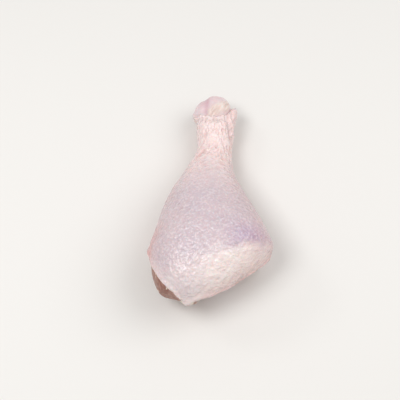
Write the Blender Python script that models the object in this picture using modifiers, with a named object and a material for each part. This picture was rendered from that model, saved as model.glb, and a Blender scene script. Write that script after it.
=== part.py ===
"""A raw chicken drumstick, lying as it does on a counter.

Three pieces: the leg bone with its cartilage ends, the meat round it, and the skin drawn over both
like a sleeve. +Y points to the hock (the thin end), -Y to the knee (the cut end), +Z is up.
Lengths are in millimetres until to_metres() is applied.
"""
import math

import bmesh
import bpy
from mathutils import Vector

MM = 0.001

# Overall form, as the skin's outer surface: (y, left, right, bottom, top) at each named place.
SKIN_STATIONS = (
    (59.5, -9.6, 15.6, -0.4, 25.8),  # hock knob
    (50.0, -8.3, 14.2, 1.0, 24.0),  # under the knob
    (39.0, -6.9, 12.7, 2.4, 22.2),  # neck
    (30.0, -9.3, 12.5, 2.2, 24.2),  # first muscle
    (19.0, -15.2, 13.9, 1.0, 30.0),
    (5.0, -22.8, 19.3, -0.8, 38.6),
    (-10.0, -28.0, 26.4, -1.6, 45.4),
    (-23.0, -32.0, 32.2, -1.8, 49.2),  # full width of the calf
    (-35.0, -35.0, 35.6, -1.6, 50.0),
)
SKIN_THICK = 1.6
SKIN_TO_MEAT = 1.0  # free depth under the skin, which the facets of both pieces eat into
MEAT_BULGE = 2.4  # how far the bare meat swells out at the corner of the knee
BULGE_START, BULGE_RUN = 2.5, 6.0  # how far inside the mouth it starts to swell, and over what run

# Where each end closes: (y where it starts to round, y of the tip, x and z of the tip).
HOCK_END = (61.5, 72.5, 2.6, 13.0)
KNEE_END = (-31.0, -62.5, -13.0, 19.0)
MEAT_HOCK_END = (49.0, 55.5, 2.6, 13.0)

# How square each side closes: 1 is a straight bevel, 2 an ellipse, more is blunter.
KNEE_ROUNDING = {"left": 2.3, "right": 1.22, "bottom": 1.4, "top": 2.4}
HOCK_ROUNDING = {"left": 2.2, "right": 2.0, "bottom": 2.2, "top": 2.2}

UPPER_SQUARENESS = 2.15  # exponent of the superellipse above the widest level
LOWER_SQUARENESS = 2.6  # and below it, where the leg is pressed flat
WIDEST_LEVEL = 0.44  # height of the widest level, as a share of the section

# The skin's openings, as planes: a point, and the direction in which the skin is kept. The knee's
# mouth lies past the lip on the underside, and under the hood or off the slanting corner.
HOOD = (Vector((-12.0, -58.0, 21.0)), Vector((0.08, -0.1, 1.0)).normalized())
CORNER = (Vector((-26.0, -52.0, 34.0)), Vector((0.69, 0.5, 0.52)).normalized())
LIP = (Vector((0.0, -37.0, 0.0)), Vector((0.25, 1.0, -0.1)).normalized())
HOCK_CUT = (Vector((2.6, 59.5, 13.0)), Vector((0.3, -1.0, -0.16)).normalized())

# The bone: (y, x, z, half width, half height) along it.
BONE_STATIONS = (
    (62.0, 2.0, 13.0, 10.0, 9.4),  # hock condyles
    (54.0, 2.4, 12.8, 8.0, 7.8),
    (46.0, 2.7, 12.6, 5.2, 5.0),
    (20.0, 2.2, 13.2, 4.3, 4.0),  # shaft
    (-18.0, 4.4, 14.2, 4.6, 4.3),
    (-34.0, 7.4, 13.6, 8.8, 6.6),
    (-42.0, 8.6, 13.0, 11.4, 7.8),  # knee head
)
BONE_HOCK_END = (62.0, 71.6)  # (y where it starts to round, y of the tip)
BONE_KNEE_END = (-42.0, -50.0)
BONE_TO_MEAT = 0.45
KNEE_SLANT, KNEE_RAKE = 0.5, 0.4  # the knee's face follows the slant of the cut, and leans back
SLANT_RUN = (-26.0, -42.0)
HOCK_GROOVE, KNEE_GROOVE, GROOVE_WIDTH = 1.7, 0.5, 3.4  # depth of the groove between condyles

LEG_MESH = (40, 34)  # segments round, rings along
BONE_MESH = (20, 26)
WELD = 0.35


def curve_value(stations, y, column):
    """The smooth curve through one column of the stations, held level past its ends."""
    rows = sorted(stations)
    if y <= rows[0][0]:
        return rows[0][column]
    if y >= rows[-1][0]:
        return rows[-1][column]
    i = next(k for k in range(len(rows) - 1) if y <= rows[k + 1][0])

    def slope(k):
        if k in (0, len(rows) - 1):
            return 0.0
        return (rows[k + 1][column] - rows[k - 1][column]) / (rows[k + 1][0] - rows[k - 1][0])

    span = rows[i + 1][0] - rows[i][0]
    t = (y - rows[i][0]) / span
    start = (2 * t**3 - 3 * t**2 + 1) * rows[i][column] + (t**3 - 2 * t**2 + t) * span * slope(i)
    end = (3 * t**2 - 2 * t**3) * rows[i + 1][column] + (t**3 - t**2) * span * slope(i + 1)
    return start + end


def closing(y, end, power):
    """1 along the leg, falling to 0 at the end's tip as a superellipse does."""
    begin, tip = end[0], end[1]
    depth = min(max((y - begin) / (tip - begin), 0.0), 1.0)
    return (1.0 - depth**power) ** (1.0 / power)


def drawn_in(value, tip, share):
    return tip + (value - tip) * share


def leg_section(y, hock_end):
    """left, right, bottom and top of the leg at y, drawn in to the tip at each end."""
    names = ("left", "right", "bottom", "top")
    sides = {name: curve_value(SKIN_STATIONS, y, 1 + k) for k, name in enumerate(names)}
    for end, rounding in ((hock_end, HOCK_ROUNDING), (KNEE_END, KNEE_ROUNDING)):
        tips = {"left": end[2], "right": end[2], "bottom": end[3], "top": end[3]}
        for side in sides:
            sides[side] = drawn_in(sides[side], tips[side], closing(y, end, rounding[side]))
    return sides


def leg_point(y, angle, sides):
    """The point at this angle round the section, 0 at the right and 90 degrees at the top."""
    across, up = math.cos(angle), math.sin(angle)
    squareness = UPPER_SQUARENESS if up >= 0 else LOWER_SQUARENESS
    reach = (abs(across) ** squareness + abs(up) ** squareness) ** (-1.0 / squareness)
    middle = (sides["left"] + sides["right"]) / 2
    widest = sides["bottom"] + WIDEST_LEVEL * (sides["top"] - sides["bottom"])
    half_width = (sides["right"] - sides["left"]) / 2
    height = sides["top"] - widest if up >= 0 else widest - sides["bottom"]
    z = widest + up * reach * height
    return Vector((middle + across * reach * half_width, y, max(z, 0.0)))


def ball_with_poles_along_y(segments, rings):
    """A UV sphere, and for each vertex its cosine from the +Y pole and its angle round Y."""
    mesh = bmesh.new()
    bmesh.ops.create_uvsphere(mesh, u_segments=segments, v_segments=rings, radius=1.0)
    turns = {}
    for vertex in mesh.verts:
        x, y, z = vertex.co
        turns[vertex] = (max(-1.0, min(1.0, z)), math.atan2(y, x))
    return mesh, turns


def shape_leg(mesh, turns, hock_end):
    middle, half = (hock_end[1] + KNEE_END[1]) / 2, (hock_end[1] - KNEE_END[1]) / 2
    for vertex, (along, angle) in turns.items():
        y = middle + half * along
        vertex.co = leg_point(y, angle, leg_section(y, hock_end))
    mesh.normal_update()
    bmesh.ops.recalc_face_normals(mesh, faces=mesh.faces)
    mesh.normal_update()


def kept_side(point, plane):
    """How far a point lies on the side of the plane where the skin is kept."""
    return (point - plane[0]).dot(plane[1])


def bare_depth(point):
    """How far inside the knee's mouth a point is."""
    open_side = max(-kept_side(point, HOOD), -kept_side(point, CORNER))
    return min(-kept_side(point, LIP), open_side)


def sink_under_skin(mesh):
    """Draws the meat in under the skin, and lets it swell where it is bare."""
    for vertex in mesh.verts:
        swell = min(bare_depth(vertex.co), -kept_side(vertex.co, CORNER))
        bare = min(max((swell - BULGE_START) / BULGE_RUN, 0.0), 1.0)
        sunk = SKIN_THICK + SKIN_TO_MEAT
        vertex.co -= vertex.normal * (sunk - MEAT_BULGE * bare)
        vertex.co.z = max(vertex.co.z, sunk)


def shape_bone(mesh, turns, grow):
    """The bone, grown by this much for the hollow that it lies in."""
    tips = (BONE_HOCK_END[1] + grow, BONE_KNEE_END[1] - grow)
    middle, half = (tips[0] + tips[1]) / 2, (tips[0] - tips[1]) / 2
    for vertex, (along, angle) in turns.items():
        y = middle + half * along
        x, z, wide, high = (curve_value(BONE_STATIONS, y, c) for c in (1, 2, 3, 4))
        share = 1.0
        for begin, tip in ((BONE_HOCK_END[0], tips[0]), (BONE_KNEE_END[0], tips[1])):
            share *= closing(y, (begin, tip), 2.6)
        offset = math.cos(angle) * (wide + grow) * share
        rise = math.sin(angle) * (high + grow) * share
        groove = math.exp(-((offset / GROOVE_WIDTH) ** 2)) * (abs(along) ** 12)
        slant = min(max((y - SLANT_RUN[0]) / (SLANT_RUN[1] - SLANT_RUN[0]), 0.0), 1.0)
        y += (KNEE_SLANT * offset - KNEE_RAKE * rise) * slant
        y += KNEE_GROOVE * groove if along < 0 else -HOCK_GROOVE * groove
        vertex.co = Vector((x + offset, y, z + rise))


def open_mouth_and_hock(mesh):
    """Cuts the skin's two openings: the knee's mouth, and the ring that the hock comes out of."""
    for plane, clear in ((HOCK_CUT, True), (HOOD, False), (CORNER, False), (LIP, False)):
        geometry = mesh.verts[:] + mesh.edges[:] + mesh.faces[:]
        bmesh.ops.bisect_plane(
            mesh, geom=geometry, dist=0.01, plane_co=plane[0], plane_no=plane[1], clear_inner=clear
        )
    mouth = [face for face in mesh.faces if bare_depth(face.calc_center_median()) > 0]
    bmesh.ops.delete(mesh, geom=mouth, context="FACES")
    bmesh.ops.remove_doubles(mesh, verts=mesh.verts, dist=WELD)


def material(name, colour, roughness):
    made = bpy.data.materials.new(name)
    made.use_nodes = True
    shader = made.node_tree.nodes["Principled BSDF"]
    shader.inputs["Base Color"].default_value = (*colour, 1.0)
    shader.inputs["Roughness"].default_value = roughness
    return made


def to_object(mesh, name, collection, look=None):
    """Turns the working mesh into an object, from millimetres to metres."""
    mesh.normal_update()
    bmesh.ops.recalc_face_normals(mesh, faces=mesh.faces)
    bmesh.ops.scale(mesh, vec=(MM, MM, MM), verts=mesh.verts)
    data = bpy.data.meshes.new(name)
    mesh.to_mesh(data)
    mesh.free()
    data.shade_smooth()
    made = bpy.data.objects.new(name, data)
    collection.objects.link(made)
    if look:
        data.materials.append(look)
    return made


def make_skin(collection):
    mesh, turns = ball_with_poles_along_y(*LEG_MESH)
    shape_leg(mesh, turns, HOCK_END)
    open_mouth_and_hock(mesh)
    skin = to_object(mesh, "skin", collection, material("chicken_skin", (0.74, 0.60, 0.60), 0.35))
    wall = skin.modifiers.new("thickness", "SOLIDIFY")
    wall.thickness = SKIN_THICK * MM
    wall.offset = -1.0
    wall.use_even_offset = True
    return skin


def make_bone(collection):
    mesh, turns = ball_with_poles_along_y(*BONE_MESH)
    shape_bone(mesh, turns, 0.0)
    return to_object(mesh, "leg_bone", collection, material("cartilage", (0.80, 0.78, 0.80), 0.25))


def make_meat(collection, cutters):
    mesh, turns = ball_with_poles_along_y(*LEG_MESH)
    shape_leg(mesh, turns, MEAT_HOCK_END)
    sink_under_skin(mesh)
    meat = to_object(mesh, "meat", collection, material("raw_meat", (0.43, 0.24, 0.20), 0.4))
    hollow_mesh, hollow_turns = ball_with_poles_along_y(*BONE_MESH)
    shape_bone(hollow_mesh, hollow_turns, BONE_TO_MEAT)
    hollow = to_object(hollow_mesh, "bone_hollow", cutters)
    hollow.hide_render = True
    hollow.display_type = "WIRE"
    cut = meat.modifiers.new("bone hollow", "BOOLEAN")
    cut.operation = "DIFFERENCE"
    cut.solver = "EXACT"
    cut.object = hollow
    return meat


def centre_on_base(objects, movers):
    """Moves everything so that the origin is the middle of the underside of the box round it."""
    bpy.context.view_layer.update()
    graph = bpy.context.evaluated_depsgraph_get()
    corners = [
        made.matrix_world @ Vector(corner)
        for made in objects
        for corner in made.evaluated_get(graph).bound_box
    ]
    low = Vector(min(c[k] for c in corners) for k in range(3))
    high = Vector(max(c[k] for c in corners) for k in range(3))
    shift = Vector((-(low.x + high.x) / 2, -(low.y + high.y) / 2, -low.z))
    for made in movers:
        made.data.transform(made.matrix_world.Translation(shift))


def main():
    for existing in list(bpy.data.objects):
        bpy.data.objects.remove(existing)
    drumstick = bpy.data.collections.new("chicken_drumstick")
    cutters = bpy.data.collections.new("cutters")
    for collection in (drumstick, cutters):
        bpy.context.scene.collection.children.link(collection)
    pieces = [make_skin(drumstick), make_bone(drumstick), make_meat(drumstick, cutters)]
    centre_on_base(pieces, pieces + list(cutters.objects))


main()
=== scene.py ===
import math
import bpy
import numpy as np
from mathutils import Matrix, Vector, noise


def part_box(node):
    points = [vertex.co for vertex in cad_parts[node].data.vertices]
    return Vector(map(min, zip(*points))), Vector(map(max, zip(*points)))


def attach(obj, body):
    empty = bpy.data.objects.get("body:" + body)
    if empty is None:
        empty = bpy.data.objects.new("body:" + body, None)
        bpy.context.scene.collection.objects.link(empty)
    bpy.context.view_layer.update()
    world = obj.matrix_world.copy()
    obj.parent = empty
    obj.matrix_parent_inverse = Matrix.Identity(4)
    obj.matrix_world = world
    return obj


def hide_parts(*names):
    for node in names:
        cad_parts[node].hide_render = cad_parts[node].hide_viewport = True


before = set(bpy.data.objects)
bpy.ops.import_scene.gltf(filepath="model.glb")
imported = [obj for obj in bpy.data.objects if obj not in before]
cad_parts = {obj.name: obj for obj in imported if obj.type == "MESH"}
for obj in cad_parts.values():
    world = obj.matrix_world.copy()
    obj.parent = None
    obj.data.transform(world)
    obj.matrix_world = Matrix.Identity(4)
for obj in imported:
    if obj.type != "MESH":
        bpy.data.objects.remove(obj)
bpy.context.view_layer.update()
print("frame loaded:", sorted(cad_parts))

mm = 0.001
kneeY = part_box("skin")[0].y / mm  # the drumstick's thick end; places along the leg are counted from here
softStart = 0.12  # how gently an end begins to close


def smoothStep(low, high, value):
    t = np.clip((value - low) / (high - low), 0.0, 1.0)
    return t * t * (3 - 2 * t)


def bump(value, middle, width):
    return np.exp(-(((value - middle) / width) ** 2))


def smoothCurve(xs, ys, x):
    # a smooth line through the given places, level at both ends
    xs, ys = np.array(xs, float), np.array(ys, float)
    slope = np.zeros(len(xs))
    slope[1:-1] = (ys[2:] - ys[:-2]) / (xs[2:] - xs[:-2])
    x = np.clip(x, xs[0], xs[-1])
    i = np.clip(np.searchsorted(xs, x) - 1, 0, len(xs) - 2)
    span = xs[i + 1] - xs[i]
    t = (x - xs[i]) / span
    first = (2 * t**3 - 3 * t**2 + 1) * ys[i] + (t**3 - 2 * t**2 + t) * span * slope[i]
    return first + (3 * t**2 - 2 * t**3) * ys[i + 1] + (t**3 - t**2) * span * slope[i + 1]


def patternPlaces(points, size, stretch, shift):
    return (points / (size * np.array(stretch, float)) + shift).reshape(-1, 3).tolist()


def grain(points, size, stretch=(1, 1, 1), shift=0.0):
    # soft noise from -1 to 1 with features of this size in mm
    values = [noise.noise(place) for place in patternPlaces(points, size, stretch, shift)]
    return np.array(values).reshape(points.shape[:-1])


def ridged(points, stretch, shift):
    # sharp-valleyed wrinkles: 1 along their crests, down to about 0 between
    return 1 - 2.4 * np.abs(grain(points, 1.0, stretch=stretch, shift=shift))


def cells(points, size, stretch=(1, 1, 1), shift=0.0):
    # distance to the nearest cell's middle, in cell sizes
    values = [noise.voronoi(place)[0][0] for place in patternPlaces(points, size, stretch, shift)]
    return np.array(values).reshape(points.shape[:-1])


def sheetNormals(points, closedRows=False):
    # outward normals of a rolled sheet of rows x columns
    across = np.roll(points, -1, axis=1) - np.roll(points, 1, axis=1)
    along = np.gradient(points, axis=0)
    if closedRows:
        along = np.roll(points, -1, axis=0) - np.roll(points, 1, axis=0)
    normals = np.cross(across, along)
    length = np.linalg.norm(normals, axis=2, keepdims=True)
    return normals / np.maximum(length, 1e-9)


def rolledMesh(name, points, fields, joinRows=False):
    # a grid rolled into a tube or ball, with its seams closed; fields become named attributes
    points = np.concatenate([points, points[:, :1]], axis=1)
    fields = {key: np.concatenate([value, value[:, :1]], axis=1) for key, value in fields.items()}
    if joinRows:
        points = np.concatenate([points, points[:1]], axis=0)
        fields = {key: np.concatenate([value, value[:1]], axis=0) for key, value in fields.items()}
    rows, columns = points.shape[:2]
    bpy.ops.object.select_all(action="DESELECT")
    bpy.ops.mesh.primitive_grid_add(x_subdivisions=columns - 1, y_subdivisions=rows - 1, size=1)
    sheet = bpy.context.object
    sheet.name = name
    sheet.data.name = name
    sheet.data.vertices.foreach_set("co", (points * mm).reshape(-1))
    for key, value in fields.items():
        layer = sheet.data.attributes.new(key, "FLOAT", "POINT")
        layer.data.foreach_set("value", value.reshape(-1).astype(np.float32))
    bpy.ops.object.mode_set(mode="EDIT")
    bpy.ops.mesh.select_all(action="SELECT")
    bpy.ops.mesh.remove_doubles(threshold=1e-6)
    bpy.ops.mesh.normals_make_consistent(inside=False)
    bpy.ops.mesh.select_all(action="DESELECT")
    bpy.ops.object.mode_set(mode="OBJECT")
    bpy.ops.object.shade_smooth()
    while sheet.data.uv_layers:
        sheet.data.uv_layers.remove(sheet.data.uv_layers[0])
    return sheet


# the leg's form, shared by skin and meat
legForm = {
    "place": (27.0, 39.0, 52.0, 67.0, 81.0, 92.0, 101.0, 112.0, 121.5),  # mm from the knee end
    "left": (-35.0, -32.2, -28.4, -23.2, -15.6, -9.7, -7.1, -8.0, -9.6),
    "right": (35.2, 31.8, 26.0, 18.9, 13.5, 12.1, 12.3, 13.8, 15.2),
    "bottom": (-1.6, -1.8, -1.6, -0.8, 1.0, 2.2, 2.4, 1.0, -0.4),
    "top": (50.0, 49.2, 45.4, 38.6, 30.0, 24.2, 22.2, 24.0, 25.8),
    "kneeCloses": (34.0, -2.8), "kneeTip": (-11.4, 19.0),
    "kneeRounding": {"left": 2.3, "right": 1.22, "bottom": 1.4, "top": 2.4},
    "hockCloses": (123.5, 134.5), "hockTip": (2.2, 13.0),
    "hockRounding": {"left": 2.2, "right": 2.0, "bottom": 2.2, "top": 2.2},
    "squareAbove": 2.15, "squareBelow": 2.6, "widestLevel": 0.44,
    "restsSoftly": 2.0,  # mm over which the flesh eases into the flat underside
}


def closing(place, begin, tip, power):
    # a section's share of its full size, which falls to 0 at the tip
    depth = np.clip((place - begin) / (tip - begin), 0.0, 1.0)
    depth = depth * depth * (1 + softStart) / (depth + softStart)
    return np.maximum(1.0 - depth**power, 0.0) ** (1.0 / power)


def legSurface(place, angle, form, hockCloses=None):
    sides = {}
    for side in ("left", "right", "bottom", "top"):
        value = smoothCurve(form["place"], form[side], place)
        axis = 0 if side in ("left", "right") else 1
        ends = (
            (form["kneeCloses"], form["kneeTip"], form["kneeRounding"]),
            (hockCloses or form["hockCloses"], form["hockTip"], form["hockRounding"]),
        )
        for closes, tip, rounding in ends:
            share = closing(place, closes[0], closes[1], rounding[side])
            value = tip[axis] + (value - tip[axis]) * share
        sides[side] = value
    across, up = np.cos(angle), np.sin(angle)
    power = np.where(up >= 0, form["squareAbove"], form["squareBelow"])
    reach = (np.abs(across) ** power + np.abs(up) ** power) ** (-1.0 / power)
    middle = (sides["left"] + sides["right"]) / 2
    widest = sides["bottom"] + form["widestLevel"] * (sides["top"] - sides["bottom"])
    height = np.where(up >= 0, sides["top"] - widest, widest - sides["bottom"])
    x = middle + across * reach * (sides["right"] - sides["left"]) / 2
    z = widest + up * reach * height
    soft = form["restsSoftly"]
    z = np.where(z < soft, np.maximum(z + soft, 0.0) ** 2 / (4 * soft), z)
    return np.stack([x, kneeY + place + 0 * x, z], axis=-1)


# the leg bone, whose ends the skin and meat lie round
bone = {
    "columns": 128, "rows": 250,
    "place": (20.0, 28.0, 44.0, 82.0, 104.0, 110.0, 116.0, 121.0, 126.0),  # mm from the knee end
    "x": (8.2, 7.0, 4.0, 1.8, 2.3, 2.4, 2.4, 2.4, 2.4),
    "z": (13.2, 13.8, 14.2, 13.2, 12.6, 12.6, 12.6, 12.8, 13.0),
    "left": (11.6, 8.8, 4.6, 4.3, 4.6, 5.6, 8.8, 13.0, 12.2),  # reach to each side of the middle
    "right": (11.6, 8.8, 4.6, 4.3, 4.6, 6.0, 8.4, 11.4, 10.2),
    "high": (8.0, 6.8, 4.3, 4.0, 4.4, 5.6, 7.8, 9.2, 9.8),
    # where each end begins to close and where it stops, how square it stays, and where its form fades in
    "hockCloses": (122.5, 133.5), "hockSquare": 2.3, "hockShapes": (118, 130),
    "kneeCloses": (20.0, 12.2), "kneeSquare": 3.0, "kneeShapes": (30, 20),
    # how the knee's face turns with the cut and leans back
    "slant": 0.5, "rake": 0.35, "slantFades": (44, 26),
    # the knee's outline is a rounded triangle with a notch above and below: angle, half width, depth
    "kneeTriangle": 0.07, "triangleTurn": 1.9, "kneeNotches": ((4.8, 0.4, 0.17), (1.5, 0.35, 0.08)),
    "grooveAt": -4.6, "grooveBelow": -0.6, "grooveWidth": 2.1, "hockGroove": 3.0, "leftSetBack": 1.6,
    # the knee's knuckles: across, up, half sizes and rise
    "kneeLobes": ((-5.2, -0.8, 4.4, 5.0, 1.1), (6.4, -1.2, 3.2, 4.0, 0.6), (1.4, 5.6, 3.6, 2.0, 0.7)),
    "kneeGroove": 0.9, "kneeGrooveAt": (1.2, 1.5),
    "capsule": 1.3, "capsuleWrinkle": 0.55, "capsuleAt": 119.4, "capsuleWidth": 3.4,
    "tendonEnds": ((-6.8, 121.0, 7.0), (0.2, 122.0, 3.6), (8.2, 121.0, 5.2)),
    "tendonSize": (2.6, 3.2, 2.6), "tendonRise": 1.1,
    "capEdge": (24.5, 22.5), "capRise": 0.45,  # the cartilage cap on the knee's head
}


def boneSection(place, b):
    return [smoothCurve(b["place"], b[key], place) for key in ("x", "z", "left", "right", "high")]


def boneSurface(places, angles, b):
    x, z, left, right, high = boneSection(places, b)
    share = closing(places, *b["hockCloses"], b["hockSquare"])
    share = share * closing(places, *b["kneeCloses"], b["kneeSquare"])
    knee, hock = smoothStep(*b["kneeShapes"], places), smoothStep(*b["hockShapes"], places)
    notches = sum(depth * bump(angles, turn, width) for turn, width, depth in b["kneeNotches"])
    triangle = b["kneeTriangle"] * np.cos(3 * (angles - b["triangleTurn"]))
    share = share * (1 + knee * (triangle - notches))
    toRight = (np.cos(angles) + 1) / 2
    offset = np.cos(angles) * (left + (right - left) * toRight) * share
    rise = np.sin(angles) * high * share
    slanted = (b["slant"] * offset - b["rake"] * rise) * smoothStep(*b["slantFades"], places)
    middle = b["grooveAt"] + (b["grooveBelow"] - b["grooveAt"]) * smoothStep(6, -3, rise)
    groove = bump(offset, middle, b["grooveWidth"]) * (0.3 + 0.7 * smoothStep(6, -1, rise))
    out = places + slanted - hock * b["hockGroove"] * groove
    out = out - hock * b["leftSetBack"] * smoothStep(b["grooveAt"] + 2, b["grooveAt"] - 3, offset)
    for across, up, wide, tall, forward in b["kneeLobes"]:
        out = out - knee * forward * bump(offset, across, wide) * bump(rise, up, tall)
    groove = bump(offset + 0.3 * rise, *b["kneeGrooveAt"]) * smoothStep(6, 2, rise)
    out = out + knee * b["kneeGroove"] * groove
    return np.stack([x + offset, kneeY + out, z + rise], axis=-1)


def makeBone(b):
    eased = (1 - np.cos(np.linspace(0, 1, b["rows"]) * math.pi)) / 2  # rows crowd at both ends
    place = b["hockCloses"][1] + (b["kneeCloses"][1] - b["hockCloses"][1]) * eased
    angle = np.linspace(0, 2 * math.pi, b["columns"], endpoint=False)
    places, angles = np.meshgrid(place, angle, indexing="ij")
    points = boneSurface(places, angles, b)
    x, y = points[..., 0], points[..., 1] - kneeY
    fromTip = np.minimum(places - b["kneeCloses"][1], b["hockCloses"][1] - places)
    swell = 0.3 * grain(points, 5.0) + 0.14 * grain(points, 2.2, shift=4.0)
    # the wrinkled pad of capsule that lies over the knuckle's top
    wavy = x + 2.4 * grain(points, 3.6, shift=1.9)
    padAlong = bump(y, b["capsuleAt"] + 0.2 * x + 0.3 * wavy, b["capsuleWidth"])
    pad = smoothStep(-3.4, 1.2, wavy) * smoothStep(13.0, 8.5, wavy) * padAlong
    pad = pad * smoothStep(0.35, 0.75, np.sin(angles))
    fanned = points + 0.7 * grain(points, 3.0, shift=2.6)[..., None]
    fanned[..., 0] -= 0.55 * (y - 119)  # so that its folds run aslant
    folds = ridged(fanned, (1.5, 7.0, 4.0), 6.0)
    swell = swell + pad * (b["capsule"] + b["capsuleWrinkle"] * folds)
    # the torn ends of the tendons that run over the knuckle
    ends = []
    for endX, endY, endZ in b["tendonEnds"]:
        ends.append(np.linalg.norm((points - (endX, kneeY + endY, endZ)) / b["tendonSize"], axis=2))
    tendon = smoothStep(1.15, 0.6, np.min(ends, axis=0) + 0.25 * grain(points, 1.6, shift=5.0))
    swell = swell + b["tendonRise"] * tendon
    # the cartilage cap ends in a low step round the knee's head
    collar = smoothStep(*b["capEdge"], places + 0.8 * grain(points, 4.0, shift=2.0))
    swell = (swell + b["capRise"] * collar) * smoothStep(0.0, 3.0, fromTip)
    points = points + sheetNormals(points) * swell[..., None]
    # stained pinker in the hock's groove and in spots on its end, with painted shade, pinkish grey, low on
    # its left
    stainAndShade = bump(x, -2.2, 1.9) * smoothStep(116, 120, places)
    stainAndShade = stainAndShade + 0.8 * smoothStep(-5, -9, x) * smoothStep(14, 9, points[..., 2])
    stainAndShade = stainAndShade + 0.5 * smoothStep(0.15, 0.5, grain(points, 4.2, shift=6.2)) * smoothStep(124, 130, y)
    stainAndShade = np.clip(stainAndShade, 0, 1) * smoothStep(100, 112, places)
    # and blood on the knee's head, in its groove, in spots and round its rim
    aside, up = x - b["x"][0], points[..., 2] - b["z"][0]
    blood = 0.6 * bump(aside + 0.3 * up, 1.2, 1.3) + 0.8 * smoothStep(0.2, 0.6, grain(points, 3.4, shift=9.0))
    rim = smoothStep(12.6, 14.6, places) * smoothStep(24, 20, places)
    stainAndShade = stainAndShade + np.clip(0.8 * blood + 0.5 * rim, 0, 0.9) * smoothStep(30, 20, places)
    fields = {
        "hock": smoothStep(60, 80, places), "stainAndShade": stainAndShade, "cap": collar,
        "capsule": np.clip(1.5 * pad + tendon, 0, 1), "fold": np.clip(folds, 0, 1),
    }
    made = rolledMesh("drumstickBone", points, fields)
    print("bone:", len(made.data.polygons), "faces")
    return made


skin = {
    "columns": 288, "rowsOutside": 244, "rowsInside": 22, "rowsRim": 5,
    "thickKnee": 1.9, "thickHock": 0.7, "thins": (90, 112),  # mm, and where the one turns into the other
    # the skin's edge round the knee: angle round the leg (0 right, 90 top), mm from the knee end
    "mouthAngle": (-8, 0, 3, 8, 24, 70, 104, 124, 140, 154, 168, 180, 200, 232, 270, 302, 332),
    "mouthPlace": (25, 17, 10.5, 5, 0.4, -2.2, -2.6, 0.6, 5.0, 13.4, 24.4, 31, 34.5, 34.5, 31, 28.5, 26.5),
    "foremost": -2.4,  # the furthest that the edge's tip may reach
    # and round the hock
    "hockAngle": (-62, -20, 8, 30, 44, 60, 80, 115, 150, 180, 230, 298),
    "hockPlace": (119, 120.5, 124.5, 123, 118.8, 117.6, 117, 117.2, 118.6, 118.8, 119.0, 119),
    "mouthRagged": 0.8, "hockRagged": 0.8,
    # how far from its edge it draws in to the bone, how tightly, and the loose part's middle and half width
    "drawsIn": 7.0, "pressesIn": 0.15, "looseAt": (18, 24),  # mm, mm, degrees
    "follicleSpacing": 2.4, "follicleHeight": 0.18, "neckFollicleHeight": 0.3,  # mm
    "fineSpacing": 2.0, "fineHeight": 0.08, "lumps": 0.5,
    "neck": (54, 99), "neckWrinkle": 0.42,  # where the calf's skin turns into the neck's, and mm
    "fatEnds": 22.2, "fatSlant": 0.25, "fatWrinkle": 0.32,  # mm from the knee end, rise per mm across, mm
    # the lines over the fat: how they face, how they slope, their width and length
    "linesFace": (0.906, 0.423), "linesSlope": (0.88, 0.47), "linesSize": (1.35, 15.0, 30.0),
    # the calf's muscle stretches the goose flesh smoother here: middle and half width, across and along
    "smoother": 0.6, "tautAcross": (-3.0, 9.0), "tautAlong": (60.0, 19.0),
    "lilacAcross": (20.0, 10.0), "lilacAlong": (-37.5, 8.0),  # the deeper lilac patch, in the same way
    # the neck's folds, in mm aside from the line they follow: middle, half width and rise
    "neckFolds": ((-3.0, 1.5, 0.35), (0.0, 0.9, -1.1), (2.0, 1.1, 0.75), (3.7, 0.7, -0.6), (5.2, 1.0, 0.4)),
    "flapAt": (12, 24), "flapRise": 1.2,  # degrees, mm
    # the small crease: its place, its turn as a cosine and a sine, and its depth and lip in mm
    "crease": (-6.3, 23.4), "creaseTurn": (0.74, 0.68), "creaseDeep": 0.45, "creaseLip": 0.3,
    "edgeRoll": 0.4, "edgeDip": 0.2,  # mm
}


def aroundLeg(angles, middle, width):
    # a soft ridge along the leg, wherever this angle comes round again
    away = (np.asarray(angles) - middle + 180) % 360 - 180
    return np.exp(-((away / width) ** 2))


def mouthLoop(s, count):
    # evenly spaced places along the skin's edge round the knee
    loopAngle = np.radians(np.array(s["mouthAngle"] + (s["mouthAngle"][0] + 360,), float))
    loopPlace = np.array(s["mouthPlace"] + (s["mouthPlace"][0],), float)
    fine, knots = np.linspace(0, len(loopAngle) - 1, 2000), np.arange(len(loopAngle))
    angle, place = smoothCurve(knots, loopAngle, fine), smoothCurve(knots, loopPlace, fine)
    step = np.linalg.norm(np.diff(legSurface(place, angle, legForm), axis=0), axis=1)
    length = np.concatenate([[0.0], np.cumsum(step)])
    wanted = np.linspace(0, length[-1], count, endpoint=False)
    return np.interp(wanted, length, angle), np.interp(wanted, length, place)


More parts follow.
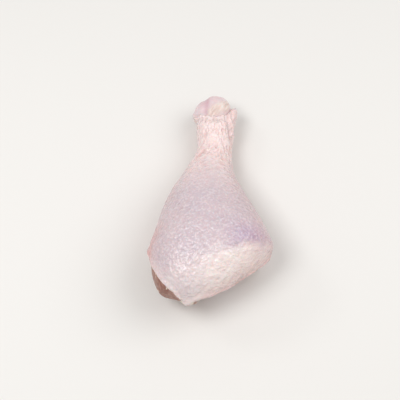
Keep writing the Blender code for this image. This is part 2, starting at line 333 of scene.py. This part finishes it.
def skinPaths(s):
    # each column runs from the hock's edge to its place on the mouth's edge
    columns = s["columns"]
    endAngle, endPlace = mouthLoop(s, columns)
    seam, seamAgain = math.radians(s["hockAngle"][0]), math.radians(s["hockAngle"][-1])
    startAngle = np.linspace(seam, seamAgain, columns, endpoint=False)
    startPlace = smoothCurve(s["hockAngle"], s["hockPlace"], np.degrees(startAngle))
    ring = legSurface(startPlace, startAngle, legForm)
    ragged = grain(ring, 4.0, shift=3.1) + 0.6 * grain(ring, 1.9, shift=8.4)
    startPlace = startPlace + s["hockRagged"] * ragged
    edge = legSurface(endPlace, endAngle, legForm)
    ragged = grain(edge, 9.0) + 0.7 * grain(edge, 2.6)
    endPlace = np.maximum(endPlace + s["mouthRagged"] * ragged, s["foremost"])
    t = np.sin(np.linspace(0, 1, 700) * math.pi / 2)[:, None]
    placeAlong = startPlace + (endPlace - startPlace) * t
    angleAlong = startAngle + (endAngle - startAngle) * smoothStep(0.15, 1.0, t)
    path = legSurface(placeAlong, angleAlong, legForm)
    run = np.linalg.norm(np.diff(path, axis=0), axis=2)
    run = np.concatenate([np.zeros((1, columns)), np.cumsum(run, axis=0)])
    rows = s["rowsOutside"]
    places, angles, fromKnee = (np.zeros((rows, columns)) for _ in range(3))
    for c in range(columns):
        even = np.linspace(0, run[-1, c], rows)
        places[:, c] = np.interp(even, run[:, c], placeAlong[:, c])
        angles[:, c] = np.interp(even, run[:, c], angleAlong[:, c])
        fromKnee[:, c] = run[-1, c] - even
    return legSurface(places, angles, legForm), places, angles, fromKnee, run[-1] - fromKnee


def hugBone(base, places, angles, fromHock, s):
    # the skin draws in round the knuckle towards its edge, but for the loose flap on the right
    x, z, left, right, high = boneSection(places, bone)
    aside, rise = base[..., 0] - x, base[..., 2] - z
    turn = np.arctan2(rise, aside)
    wide = left + (right - left) * (np.cos(turn) + 1) / 2
    reach = 1 / np.sqrt((np.cos(turn) / wide) ** 2 + (np.sin(turn) / high) ** 2)
    now = np.hypot(aside, rise)
    drawn = smoothStep(s["drawsIn"], 0.3, fromHock) * (1 - 0.7 * aroundLeg(np.degrees(angles), *s["looseAt"]))
    wanted = now + (reach + s["thickHock"] - s["pressesIn"] - now) * drawn
    hugged = base.copy()
    hugged[..., 0] = x + np.cos(turn) * wanted
    hugged[..., 2] = np.maximum(z + np.sin(turn) * wanted, 0.05)
    return hugged


def skinRelief(s, base, places, angles, fromKnee, fromHock):
    x, y, z = base[..., 0], base[..., 1], base[..., 2]
    degrees = np.degrees(angles)
    wandering = places + 6 * grain(base, 9.0, shift=1.7) + 4 * grain(base, 3.5, shift=6.7)
    neck = smoothStep(*s["neck"], wandering)
    # cream where fat lies under it: a clear border above on the right, melting away to the left and below
    lower = smoothStep(44, 20, z)
    soft = 5.5 + 8.5 * smoothStep(14, -12, x) + 9 * lower
    border = places - s["fatEnds"] - s["fatSlant"] * (x - 2)
    border = border + (3.5 + 4 * lower) * grain(base, 11.0) + 2.2 * grain(base, 3.2, shift=1.1)
    cream = smoothStep(0.4 * soft, -soft, border) * (0.4 + 0.6 * smoothStep(-16, 8, x))
    nearEdge = smoothStep(14, 3, fromKnee + 4 * grain(base, 10.0)) * (0.35 + 0.45 * smoothStep(-32, -8, x))
    cream = np.maximum(cream, nearEdge) * smoothStep(6, 14, z)
    height = s["lumps"] * grain(base, 24.0) + 0.3 * grain(base, 9.0, shift=5.0)

    # goose flesh
    taut = s["smoother"] * bump(x, *s["tautAcross"]) * bump(places, *s["tautAlong"]) * smoothStep(14, 26, z)
    grainy = 1 - taut
    near = cells(base, s["follicleSpacing"], stretch=(1, 1.15, 1), shift=2.0)
    follicle = smoothStep(0.62, 0.08, near)
    follicleHeight = s["follicleHeight"] + (s["neckFollicleHeight"] - s["follicleHeight"]) * neck
    patchy = np.clip(0.75 + 0.8 * grain(base, 8.0, shift=9.0), 0, 1.4)
    height = height + follicleHeight * (1 - 0.8 * cream) * patchy * follicle * grainy
    fine = s["fineHeight"] * (1 - neck) * (1 - cream) * grain(base, s["fineSpacing"], shift=5.5)
    height = height + fine * grainy

    # wrinkles on the neck run along it, leaning inwards at each side
    leaned = base + 1.0 * grain(base, 5.0, shift=4.0)[..., None]
    leaned[..., 0] -= (0.45 - 0.7 * smoothStep(-9, 12, x)) * (y - 26)
    wrinkle = ridged(leaned, (1.9, 4.6, 2.2), 7.0)
    height = height + s["neckWrinkle"] * neck * wrinkle * (0.45 + 0.55 * smoothStep(0.5, 6.0, fromHock))
    # fine lines over the fat slope up to the right, and turn along the skin's edge close to it
    (level, lean), (steep, slope) = s["linesFace"], s["linesSlope"]
    up = level * y + lean * z
    aside = steep * x - slope * up + 4 * np.exp(-fromKnee / 4.5) + 0.9 * grain(base, 8.0, shift=3.0)
    slanted = np.stack([aside, slope * x + steep * up, level * z - lean * y], axis=-1)
    lines = ridged(slanted, s["linesSize"], 1.0)
    height = height + s["fatWrinkle"] * (0.15 + 0.85 * cream) * (1 - neck) * lines

    # folds down the right side of the neck, which open into the loose flap at the hock's edge
    fold = x - 9.4 - 0.19 * (115 - places) + 0.5 * grain(base, 5.0, shift=6.0)
    folded = smoothStep(97, 108, places) * smoothStep(8, 14, z)
    for middle, width, rise in s["neckFolds"]:
        height = height + rise * folded * bump(fold, middle, width)
    height = height + s["flapRise"] * aroundLeg(degrees, *s["flapAt"]) * smoothStep(8.0, 1.0, fromHock)
    height = height + 0.2 * bump(fromHock, 1.2, 1.5)

    # the fold along the left edge of the calf
    foldLine = 166 - 0.5 * (places - 20) + 9 * grain(base, 12.0, shift=3.3)
    along = smoothStep(10, 24, places) * smoothStep(52, 34, places)
    leftFold = 0.2 * aroundLeg(degrees, foldLine + 10, 8) - 0.4 * aroundLeg(degrees, foldLine, 5)
    height = height + along * leftFold

    # the small crease on the left where the neck's thicker skin ends
    (creaseX, creaseY), (cosine, sine) = s["crease"], s["creaseTurn"]
    creaseAside = (x - creaseX) * cosine - (y - creaseY) * sine
    creaseAlong = (x - creaseX) * sine + (y - creaseY) * cosine
    aloft = smoothStep(12, 18, z)
    crease = bump(creaseAside, 0.0, 0.8) * bump(creaseAlong, 0.0, 4.0) * aloft
    lip = s["creaseLip"] * bump(creaseAside, -1.6, 1.2) * bump(creaseAlong, 0.0, 4.5) * aloft
    height = height - s["creaseDeep"] * crease + lip

    # the skin thickens into a soft roll at its cut edge
    height = height + s["edgeRoll"] * bump(fromKnee, 2.0, 2.2) - s["edgeDip"] * bump(fromKnee, 6.5, 2.4)
    height = height * (0.1 + 0.9 * smoothStep(0.0, 3.5, z))  # pressed nearly smooth underneath

    under = smoothStep(0.2, -0.7, sheetNormals(base)[..., 2])
    lilac = bump(x, *s["lilacAcross"]) * bump(y, *s["lilacAlong"]) * smoothStep(24, 32, z)
    sides = 1.35 * aroundLeg(degrees, 180, 30) + aroundLeg(degrees, 12, 34)
    turnedUnder = smoothStep(16, 2, fromKnee + 3 * grain(base, 6.0, shift=2.7)) * smoothStep(34, 22, z)
    # crests of the wrinkles and of the lines over the fat, and the rest of the calf; painted shade goes
    # between them
    crest = wrinkle * neck + (0.1 + 0.9 * lines) * cream * (1 - neck) + (1 - neck) * (1 - cream)
    # painted shade, pink: where the skin faces down, in the left fold's groove, in the crease, in the neck's
    # folds and wrinkle valleys and where the edge turns under
    shadeAndBlush = 0.38 * under + 0.35 * along * aroundLeg(degrees, foldLine, 14) + 0.6 * crease
    # down both sides a painted shadow, partly the skin's own pinker tone there
    shadeAndBlush = shadeAndBlush + (0.3 + 0.25 * grain(base, 14.0, shift=8.8)) * sides * (1 - neck)
    shadeAndBlush = shadeAndBlush + 0.3 * folded * bump(fold, 0.0, 0.9) + 0.2 * turnedUnder
    shadeAndBlush = shadeAndBlush + 0.2 * neck * np.clip(0.45 - wrinkle, 0, 1)
    tone = {
        "cream": cream, "neck": 0.9 * neck, "lilac": lilac, "crest": np.clip(crest, 0, 1), "grainy": grainy,
        "edge": smoothStep(2.2, 0.3, fromKnee), "shadeAndBlush": np.clip(shadeAndBlush, 0, 1),
    }
    return height, tone


def makeSkin(s):
    base, places, angles, fromKnee, fromHock = skinPaths(s)
    base = hugBone(base, places, angles, fromHock, s)
    normals = sheetNormals(base)
    height, tone = skinRelief(s, base, places, angles, fromKnee, fromHock)
    outside = base + normals * height[..., None]
    outside[..., 2] = np.maximum(outside[..., 2], 0.0)
    thick = s["thickKnee"] + (s["thickHock"] - s["thickKnee"]) * smoothStep(*s["thins"], places)
    picks = np.linspace(0, len(base) - 1, s["rowsInside"]).round().astype(int)
    inside = base[picks] - normals[picks] * thick[picks][..., None]
    inside[..., 2] = np.maximum(inside[..., 2], 0.4)

    def rim(row, away):
        # rounds the sheet's edge over from outside to inside
        lead = outside[row] - outside[row + away]
        lead = lead / np.linalg.norm(lead, axis=1, keepdims=True)
        inner = inside[-1] if row == -1 else inside[0]
        middle, half = (outside[row] + inner) / 2, (outside[row] - inner) / 2
        swell = np.linalg.norm(half, axis=1, keepdims=True)
        turns = [math.pi * (k + 1) / (s["rowsRim"] + 1) for k in range(s["rowsRim"])]
        return np.array([middle + half * math.cos(a) + lead * swell * math.sin(a) for a in turns])

    points = np.concatenate([outside, rim(-1, -1), inside[::-1], rim(0, 1)[::-1]])
    extra = len(points) - len(outside)
    fields = {}
    for key, value in tone.items():
        filler = np.full((extra, s["columns"]), 1.0 if key in ("edge", "crest") else 0.0)
        fields[key] = np.concatenate([value, filler])
    made = rolledMesh("drumstickSkin", points, fields, joinRows=True)
    print("skin:", len(made.data.polygons), "faces")
    return made


meat = {
    "columns": 200, "rows": 190,
    "inset": 3.2, "bulge": 1.4, "hockCloses": (109.0, 115.0),  # mm
    "corner": (-26.4, 10.0, 34.0), "cornerFaces": (0.69, 0.5, 0.52),  # the bare corner, and away from it
    # the muscles that end at the knee: x, z, half width, half height and how far each stands out
    "muscles": ((-27, 17, 13, 16, 1.9), (-9, 27, 12, 8, 1.4), (-10, 5, 11, 7, 1.2), (8, 26, 11, 7, 1.1),
                (27, 14, 7, 11, 1.6), (13, 2, 11, 5, 0.9)),
    # cut ends of tendons and ligaments by the bone
    "tendons": ((-6.0, 19.0, 3.4, 1.6, 1.3), (21.6, 12.4, 1.5, 2.8, 1.2), (-5.4, 7.4, 1.5, 2.2, 0.9)),
}


def blobs(x, z, spots, soft):
    # how much each point belongs to one of the oval spots, and the height that it adds
    share, height = 0.0 * x, 0.0 * x
    for middleX, middleZ, wide, tall, rise in spots:
        inside = smoothStep(1.0 + soft, 1.0 - soft, np.hypot((x - middleX) / wide, (z - middleZ) / tall))
        share, height = np.maximum(share, inside), height + rise * inside
    return share, height


def makeMeat(m):
    dense = np.linspace(0, 1, m["rows"]) ** 1.8  # rows crowd towards the knee, where the meat shows
    place = legForm["kneeCloses"][1] + (m["hockCloses"][1] - legForm["kneeCloses"][1]) * dense[::-1]
    angle = np.linspace(0, 2 * math.pi, m["columns"], endpoint=False)
    places, angles = np.meshgrid(place, angle, indexing="ij")
    base = legSurface(places, angles, legForm, hockCloses=m["hockCloses"])
    normals = sheetNormals(base)
    blunt = smoothStep(9.0, 0.0, places - legForm["kneeCloses"][1])[..., None]
    normals = normals * (1 - blunt) + np.array([0.0, -1.0, 0.0]) * blunt
    normals[0] = (0, 1, 0)
    normals = normals / np.linalg.norm(normals, axis=2, keepdims=True)
    corner = np.array(m["corner"]) + (0, kneeY, 0)
    off = -((base - corner) @ np.array(m["cornerFaces"]))
    bare = smoothStep(1.0, 9.0, off) * smoothStep(45, 30, places) * smoothStep(0.5, 7.0, places)
    shows = smoothStep(48, 34, places)
    x, z = base[..., 0] + 1.2 * grain(base, 7.0, shift=2.2), base[..., 2] + 1.2 * grain(base, 7.0, shift=8.2)
    domes = []
    for middleX, middleZ, wide, tall, rise in m["muscles"]:
        domes.append(rise * (1 - ((x - middleX) / wide) ** 2 - ((z - middleZ) / tall) ** 2))
    domes = np.sort(np.array(domes), axis=0)
    standsOut = np.maximum(domes[-1], -0.8)
    seam = smoothStep(0.9, 0.0, domes[-1] - domes[-2]) * shows * smoothStep(-0.4, 0.4, standsOut)
    fibre = ridged(base, (1.7, 16.0, 1.7), 5.0)
    facing = smoothStep(0.1, 0.5, -normals[..., 1])
    boneX, boneZ = bone["x"][0], bone["z"][0]
    around = np.arctan2((z - boneZ) / bone["high"][0], (x - boneX) / bone["left"][0])
    ringed = np.hypot((x - boneX) / bone["left"][0], (z - boneZ) / bone["high"][0])
    # tendon stubs, and pale sinew that spreads out from the joint in strands
    ragged = base + 0.9 * np.stack([grain(base, 2.2, shift=k) for k in (1.3, 4.3, 7.3)], axis=-1)
    tendon, tendonHeight = blobs(ragged[..., 0], ragged[..., 2], m["tendons"], 0.3)
    strands = grain(np.stack([np.cos(around) * 9, np.sin(around) * 9, ringed * 2], axis=-1), 1.3)
    joint = np.clip(bump(ringed, 1.1, 0.3 + 0.25 * strands) * facing, 0, 1)
    # soft fat that clings in crumbs under the skin's edge
    loopAngle, loopPlace = mouthLoop(skin, 120)
    edge = legSurface(loopPlace, loopAngle, legForm)
    away = np.min([np.linalg.norm(base - point, axis=2) for point in edge], axis=0)
    crumbly = grain(base, 5.0, shift=6.1) + 0.45 * grain(base, 1.9, shift=2.9)
    fat = smoothStep(0.45, 0.95, 0.9 * bump(away, 1.5, 3.6) + crumbly) * (1 - tendon)
    fat = fat * smoothStep(0.0, 0.4, -normals[..., 1])
    crumbs = fat * (0.5 + 0.6 * smoothStep(0.7, 0.1, cells(base, 2.4, shift=3.0)))
    relief = shows * (standsOut - 0.45 * seam + 0.18 * fibre * (1 - fat) - 0.6)
    relief = relief - facing * (1.3 * bump(ringed, 1.06, 0.15) + 2.0 * smoothStep(1.05, 0.85, ringed))
    relief = relief - 2.0 * smoothStep(9.0, 0.0, places - legForm["kneeCloses"][1])
    relief = relief + 0.85 * (0.7 - relief) * bump(away, 1.0, 4.5)  # clings to the skin near its edge
    relief = relief + 0.25 * joint * strands + facing * tendonHeight + crumbs
    points = base - normals * (m["inset"] - m["bulge"] * bare - relief)[..., None]
    points[..., 2] = np.maximum(points[..., 2], 0.9)
    fields = {
        "seam": seam, "joint": joint, "tendon": tendon * facing, "fat": fat, "fibre": np.clip(fibre, 0, 1),
    }
    made = rolledMesh("drumstickMeat", points, fields)
    print("meat:", len(made.data.polygons), "faces")
    return made


def linear(hexColour):
    # the linear colour, with its alpha, of an sRGB one
    parts = [int(hexColour[i:i + 2], 16) / 255 for i in (1, 3, 5)]
    return tuple(c / 12.92 if c <= 0.04045 else ((c + 0.055) / 1.055) ** 2.4 for c in parts) + (1.0,)


def addNode(tree, kind, settings=None, inputs=None):
    # one node with its settings; an input given as a socket is linked, anything else is set
    node = tree.nodes.new(kind)
    for key, value in (settings or {}).items():
        setattr(node, key, value)
    for key, value in (inputs or {}).items():
        if isinstance(value, bpy.types.NodeSocket):
            tree.links.new(value, node.inputs[key])
        else:
            node.inputs[key].default_value = value
    return node


def layColours(tree, fields, base, layers):
    # lays colours over a base, each by a field: where that starts and ends, and the share of colour at each
    tone = linear(base)
    for key, (start, end), (least, most), colour in layers:
        share = addNode(tree, "ShaderNodeMapRange", {}, {
            "Value": fields[key], "From Min": start, "From Max": end, "To Min": least, "To Max": most,
        })
        # a layer's own colour can be a base with layers too
        over = linear(colour) if isinstance(colour, str) else layColours(tree, fields, *colour)
        mixed = addNode(tree, "ShaderNodeMix", {"data_type": "RGBA"}, {
            0: share.outputs["Result"], 6: tone, 7: over,
        })
        tone = mixed.outputs[2]
    return tone


def makeMaterial(name, look):
    made = bpy.data.materials.new(name)
    made.use_nodes = True
    tree = made.node_tree
    tree.nodes.clear()
    where = addNode(tree, "ShaderNodeTexCoord").outputs["Object"]
    fields = {}
    for key, (across, along, detail) in look["patterns"].items():
        scale = [1 / (size * mm) for size in (across, along, across)]
        sized = addNode(tree, "ShaderNodeMapping", {}, {"Vector": where, "Scale": scale})
        noisy = addNode(tree, "ShaderNodeTexNoise", {}, {
            "Vector": sized.outputs[0], "Scale": 1.0, "Detail": detail,
        })
        fields[key] = noisy.outputs["Fac"]
    for key in look["attributes"]:
        fields[key] = addNode(tree, "ShaderNodeAttribute", {"attribute_name": key}).outputs["Fac"]
    tone = layColours(tree, fields, look["base"], look["layers"])
    relief = look["relief"]
    height = 0.0
    for key, weight in relief["of"]:
        height = addNode(tree, "ShaderNodeMath", {"operation": "MULTIPLY_ADD"}, {
            0: fields[key], 1: weight, 2: height,
        }).outputs[0]
    if "scaledBy" in relief:
        height = addNode(tree, "ShaderNodeMath", {"operation": "MULTIPLY"}, {
            0: height, 1: fields[relief["scaledBy"]],
        }).outputs[0]
    bumped = addNode(tree, "ShaderNodeBump", {}, {
        "Strength": relief["strength"], "Distance": relief["depth"] * mm, "Height": height,
    })
    shader = addNode(tree, "ShaderNodeBsdfPrincipled", {}, {
        "Base Color": tone, "Normal": bumped.outputs["Normal"], **look["surface"],
    })
    addNode(tree, "ShaderNodeOutputMaterial", {}, {"Surface": shader.outputs[0]})
    return made


# A pattern is noise: its size in mm across the leg and along it, and its detail. A layer's field is a
# pattern or an attribute of the mesh. Relief is a sum of patterns, and its depth is in mm.

# raw poultry skin: pale, wet and slightly see-through and cream over fat, with painted pink shade in its
# hollows, underneath and down its sides, and painted highlights on its bumps
rawPoultrySkin = {
    "patterns": {"broad": (16.13, 16.13, 3.0), "bumpsAndShade": (2.5, 2.5, 0.5), "fine": (1.282, 1.282, 0.5)},
    "attributes": ("lilac", "neck", "cream", "crest", "shadeAndBlush", "edge", "grainy"),
    "base": "#ccbcc3",
    "layers": (
        ("broad", (0.38, 0.62), (0.0, 1.0), "#d3c1c6"),
        ("lilac", (0.0, 1.0), (0.0, 1.0), "#bba5bb"),
        ("bumpsAndShade", (0.3, 0.55), (0.16, 0.0), "#bd9aa6"),  # painted shade, darker, between the bumps of its goose flesh
        ("neck", (0.0, 1.0), (0.0, 1.0), "#fae5e2"),
        ("cream", (0.0, 1.0), (0.0, 1.0), "#fff3ef"),
        ("fine", (0.5, 0.66), (0.0, 0.22), "#fbf4f5"),  # and painted highlights, paler, on their tips
        ("crest", (0.0, 1.0), (0.24, 0.0), "#cb9996"),  # painted shade, pinker, in the valleys between wrinkles and between the lines over the fat
        # painted shade, pink, with some of the skin's own pinker tone down its sides
        ("shadeAndBlush", (0.0, 1.0), (0.0, 1.0), "#d9a5a2"),
        ("edge", (0.0, 1.0), (0.0, 1.0), "#f0dcd8"),
    ),
    "relief": {"of": (("bumpsAndShade", 1.0), ("fine", 0.8)), "scaledBy": "grainy", "strength": 0.82, "depth": 0.9},
    "surface": {
        "Roughness": 0.24, "IOR": 1.42, "Specular IOR Level": 0.9,
        "Subsurface Weight": 0.2, "Subsurface Radius": (1.0, 0.45, 0.3), "Subsurface Scale": 0.0015,
    },
}

# raw dark poultry meat: brownish pink muscle with faint fibres, white tendon, cream fat and a moist film,
# with painted highlights on its strands and painted shade between its bundles of fibres
rawDarkPoultryMeat = {
    "patterns": {"broad": (9.09, 9.09, 2.0), "strand": (1.429, 11.9, 3.0)},
    "attributes": ("fibre", "seam", "joint", "fat", "tendon"),
    "base": "#8f5b4b",
    "layers": (
        ("broad", (0.35, 0.65), (0.0, 1.0), "#a07160"),
        # painted highlight, paler, on the raised strands
        ("strand", (0.48, 0.8), (0.0, 1.0), "#b78d7c"),
        ("fibre", (0.0, 1.0), (0.25, 0.0), "#743c33"),  # painted shade, darker, between the bundles of fibres
        ("seam", (0.0, 1.0), (0.0, 1.0), "#c39488"),
        ("joint", (0.0, 1.0), (0.0, 1.0), "#cda79c"),
        ("fat", (0.0, 1.0), (0.0, 1.0), ("#f3e5d5", (("broad", (0.4, 0.66), (0.0, 1.0), "#e6cbbd"),))),
        ("tendon", (0.0, 1.0), (0.0, 1.0), "#e5d6d0"),
    ),
    "relief": {"of": (("strand", 1.0),), "strength": 0.5, "depth": 0.5},
    "surface": {
        "Roughness": 0.26, "IOR": 1.4, "Specular IOR Level": 0.75,
        "Subsurface Weight": 0.2, "Subsurface Radius": (1.0, 0.3, 0.2), "Subsurface Scale": 0.0015,
    },
}

# joint cartilage: bluish white, very smooth and wet, with pink blushes of blood, painted shade low on the
# hock's left, and a creamy capsule with painted highlights on its folds
jointCartilage = {
    "patterns": {"broad": (6.25, 6.25, 3.0)},
    "attributes": ("cap", "hock", "stainAndShade", "capsule", "fold"),
    "base": "#dcbcb4",
    "layers": (
        ("cap", (0.0, 1.0), (0.0, 1.0), "#e9e2e5"),
        ("hock", (0.0, 1.0), (0.0, 1.0), "#e3d1d4"),
        ("broad", (0.45, 0.8), (0.0, 0.5), "#dca5ab"),
        # blood, with painted shade low on the hock's left
        ("stainAndShade", (0.0, 1.0), (0.0, 1.0), ("#d3a1a3", (("hock", (0.0, 1.0), (0.0, 1.0), "#d6b5bd"),))),
        # the creamy capsule, with painted highlights, paler, on the crests of its folds
        ("capsule", (0.0, 1.0), (0.0, 1.0), ("#e0cac2", (("fold", (0.0, 1.0), (0.0, 1.0), "#ecdcd5"),))),
    ),
    "relief": {"of": (("broad", 1.0),), "strength": 0.3, "depth": 0.4},
    "surface": {
        "Roughness": 0.22, "IOR": 1.4,
        "Subsurface Weight": 0.25, "Subsurface Radius": (1.0, 0.6, 0.5), "Subsurface Scale": 0.0015,
    },
}


def dress(piece, material, node):
    piece.data.materials.clear()
    piece.data.materials.append(material)
    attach(piece, "root")
    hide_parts(node)


dress(makeSkin(skin), makeMaterial("rawPoultrySkin", rawPoultrySkin), "skin")
dress(makeMeat(meat), makeMaterial("rawDarkPoultryMeat", rawDarkPoultryMeat), "meat")
dress(makeBone(bone), makeMaterial("jointCartilage", jointCartilage), "leg_bone")
print("materials on")


stage = {
    "floorSize": 4.0, "floorBelow": 0.0002, "floorColour": "#e9e7e4", "floorRoughness": 0.7,  # m
    "lights": (  # place and size in m, power in W
        ("softKey", (-0.3, -0.1, 0.68), 0.32, 2.0),
        ("softSide", (-0.55, 0.25, 0.58), 0.2, 0.5),
        ("softFill", (0.45, 0.05, 0.6), 0.6, 1.9),
    ),
    "airColour": "#fbfaf8", "airStrength": 0.55,
}


def addStage(s):
    bpy.ops.object.select_all(action="DESELECT")
    bpy.ops.mesh.primitive_plane_add(size=s["floorSize"], location=(0, 0, -s["floorBelow"]))
    floor = bpy.context.object
    floor.name = "paleFloor"
    paper = bpy.data.materials.new("palePaper")  # matt and nearly white
    paper.use_nodes = True
    paper.node_tree.nodes["Principled BSDF"].inputs["Base Color"].default_value = linear(s["floorColour"])
    paper.node_tree.nodes["Principled BSDF"].inputs["Roughness"].default_value = s["floorRoughness"]
    floor.data.materials.append(paper)
    for name, place, size, power in s["lights"]:
        bpy.ops.object.light_add(type="AREA", location=place)
        lamp = bpy.context.object
        lamp.name = name
        lamp.data.shape = "DISK"
        lamp.data.size = size
        lamp.data.energy = power
        lamp.rotation_euler = Vector(place).to_track_quat("Z", "Y").to_euler()
    world = bpy.data.worlds.new("studio")
    world.use_nodes = True
    air = world.node_tree.nodes["Background"]
    air.inputs["Color"].default_value = linear(s["airColour"])
    air.inputs["Strength"].default_value = s["airStrength"]
    bpy.context.scene.world = world
    bpy.context.scene.view_settings.view_transform = "Standard"


# the width that the frame takes in and the place it looks at are in mm, the lens and sensor too
camera = {
    "elevation": 65.0, "lens": 85.0, "sensor": 36.0, "frameWidth": 228.0, "aim": (-6.3, -4.0, 20.0),
}


def addCamera(c):
    tilt = math.radians(c["elevation"])
    aim = Vector(c["aim"]) * mm
    away = Vector((0, -math.cos(tilt), math.sin(tilt))) * (c["frameWidth"] * mm * c["lens"] / c["sensor"])
    bpy.ops.object.camera_add(location=aim + away, rotation=(math.pi / 2 - tilt, 0, 0))
    made = bpy.context.object
    made.name = "camera"
    made.data.lens = c["lens"]
    made.data.sensor_width = c["sensor"]
    made.data.clip_start = 0.01
    bpy.context.scene.camera = made


addStage(stage)
addCamera(camera)
print("stage set")
